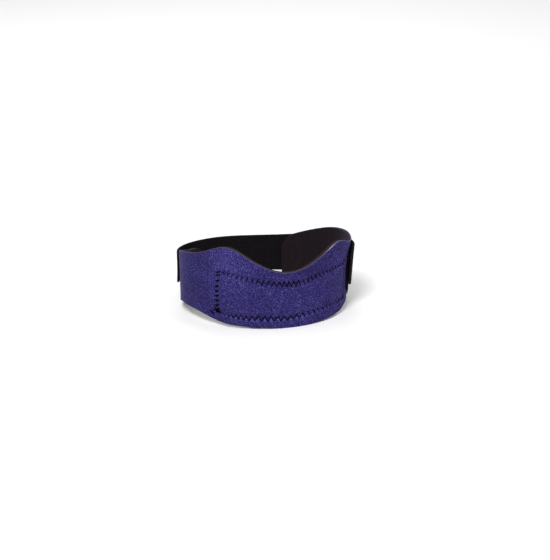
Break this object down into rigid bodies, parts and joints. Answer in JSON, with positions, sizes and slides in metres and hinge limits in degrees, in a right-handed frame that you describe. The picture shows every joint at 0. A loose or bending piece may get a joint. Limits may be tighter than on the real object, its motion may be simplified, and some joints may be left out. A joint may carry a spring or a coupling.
{
  "type": "patella strap",
  "caption": "Patella strap: a scooped neoprene band with a stitched-in pressure pad, closed round the back by a webbing strap that fastens with a hook tab.",
  "frame": {"origin": "on the floor plane, under the middle of the strap's box", "axes": "+Z along the leg towards the knee cap, -Y to the front of the leg, +X to the side where the strap fastens"},
  "size_m": [0.1112, 0.1128, 0.051],
  "materials": {
    "band_fabric": "brushed loop fabric on neoprene, violet blue",
    "pad_foam": "matt dark foam rubber",
    "strap_webbing": "black woven webbing",
    "hook_tape": "black hook tape"
  },
  "bodies": {
    "root": {"neoprene_band": "band_fabric", "pressure_pad": "pad_foam", "closure_strap": "strap_webbing", "hook_tab": "hook_tape"}
  },
  "joints": []
}
